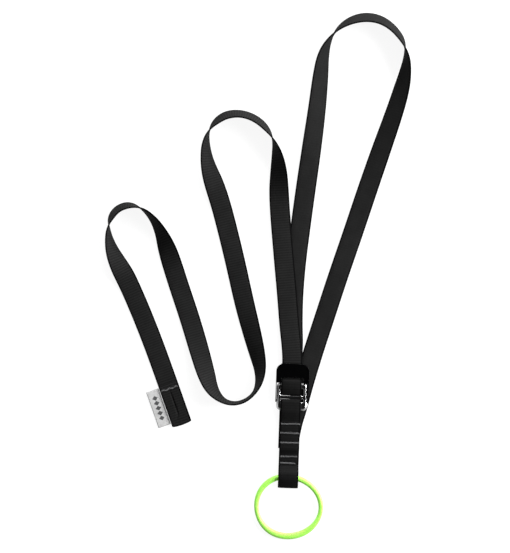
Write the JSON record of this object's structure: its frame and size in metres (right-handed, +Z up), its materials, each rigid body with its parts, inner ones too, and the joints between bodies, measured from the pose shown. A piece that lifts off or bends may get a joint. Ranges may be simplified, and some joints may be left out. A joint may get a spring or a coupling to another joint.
{
  "type": "lanyard",
  "caption": "Webbing neck lanyard with a folded tail, a slide buckle with a hinged keeper, a sewn eye and a round cord ring, laid out on a table.",
  "frame": {"origin": "on the table, under the middle of the ring, buckle and sewn layers, without the free strap", "axes": "+Z up from the table, +Y from the ring towards the neck loop, +X across the strap"},
  "size_m": [0.2976, 0.5291, 0.0201],
  "materials": {
    "webbing": "black woven webbing with fine weft ribs, matt",
    "thread": "grey bar tack thread, dense zigzag",
    "label_cloth": "off-white woven satin flag label with a plain pattern",
    "plate_metal": "bright polished metal with a bevelled outline",
    "keeper_black": "black painted sheet metal with a lighter rim",
    "ring_green": "neon green soft moulded cord, satin gloss"
  },
  "bodies": {
    "strap_and_buckle": {"front_plate": "plate_metal", "strap_round_upper_bar": "webbing", "strap_folded_end": "webbing", "strap_front_layer": "webbing", "strap_eye": "webbing", "strap_back_layer": "webbing", "strap_tail": "webbing", "strap_loop": "webbing", "hem_fold": "webbing", "bar_tack_1": "thread", "bar_tack_2": "thread", "bar_tack_3": "thread", "bar_tack_4": "thread", "bar_tack_5": "thread", "hem_bar_tack": "thread"},
    "keeper": {"keeper": "keeper_black"},
    "ring": {"ring": "ring_green"},
    "label": {"label": "label_cloth"}
  },
  "joints": [
    {"name": "keeper_lift", "type": "hinge", "parent": "strap_and_buckle", "child": "keeper", "pos_m": [0, 0.0513, 0.0045], "axis": [1, 0, 0], "range_deg": [0, 90]},
    {"name": "ring_swing", "type": "hinge", "parent": "strap_and_buckle", "child": "ring", "pos_m": [0, -0.02452, 0.00532], "axis": [-1, 0, 0], "range_deg": [0, 170]},
    {"name": "label_flap", "type": "hinge", "parent": "strap_and_buckle", "child": "label", "pos_m": [-0.12662, 0.04126, 0.0019], "axis": [-0.3642, 0.9313, 0], "range_deg": [0, 85]}
  ]
}
